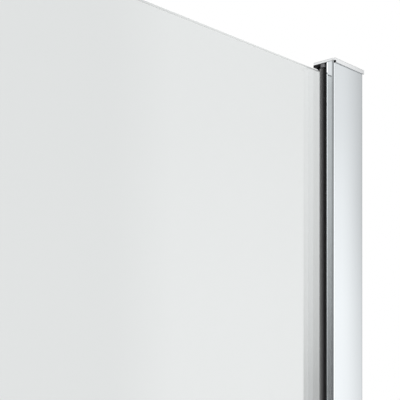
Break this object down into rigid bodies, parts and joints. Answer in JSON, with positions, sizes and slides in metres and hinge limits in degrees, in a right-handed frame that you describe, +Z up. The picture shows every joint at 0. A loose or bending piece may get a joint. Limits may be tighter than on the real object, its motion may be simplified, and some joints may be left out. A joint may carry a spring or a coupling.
{
  "type": "fixed shower screen",
  "caption": "Fixed shower screen: a clear glass sheet held along one edge by a polished wall post that slides on a hidden wall channel to set its width.",
  "frame": {"origin": "on the wall plane, at the foot of the wall channel, on the post's centre line", "axes": "+X points into the wall, -X along the glass to its free edge, -Y is the front, +Y the rear, +Z points up"},
  "size_m": [0.8, 0.0303, 1.95],
  "materials": {
    "polished_aluminium": "bright polished and anodised",
    "mill_aluminium": "satin, as extruded",
    "glass": "clear toughened glass with polished edges",
    "black_rubber": "smooth black",
    "grey_rubber": "smooth mid grey",
    "cap_plastic": "bright metallised",
    "steel": "bright stainless",
    "nylon": "natural white",
    "clear_plastic": "clear and flexible"
  },
  "bodies": {
    "wall_side": {"wall_channel": "mill_aluminium", "channel_foot_plug": "black_rubber", "nut_plates": "steel", "clamp_screws": "steel", "clamp_washers": "steel"},
    "screen": {"post_profile": "polished_aluminium", "glass_panel": "glass", "glazing_gasket": "black_rubber", "rear_seat": "black_rubber", "gasket_stop": "grey_rubber", "top_seal_block": "black_rubber", "setting_block": "nylon", "edge_spacers": "nylon", "top_cap": "cap_plastic", "bottom_cap": "cap_plastic", "top_cap_screw": "steel", "bottom_cap_screw": "steel", "slot_covers": "cap_plastic", "bottom_seal": "clear_plastic", "seal_end_plug": "clear_plastic"}
  },
  "joints": [
    {"name": "width_adjustment", "type": "slide", "parent": "wall_side", "child": "screen", "axis": [-1, 0, 0], "range_m": [0, 0.02]}
  ]
}
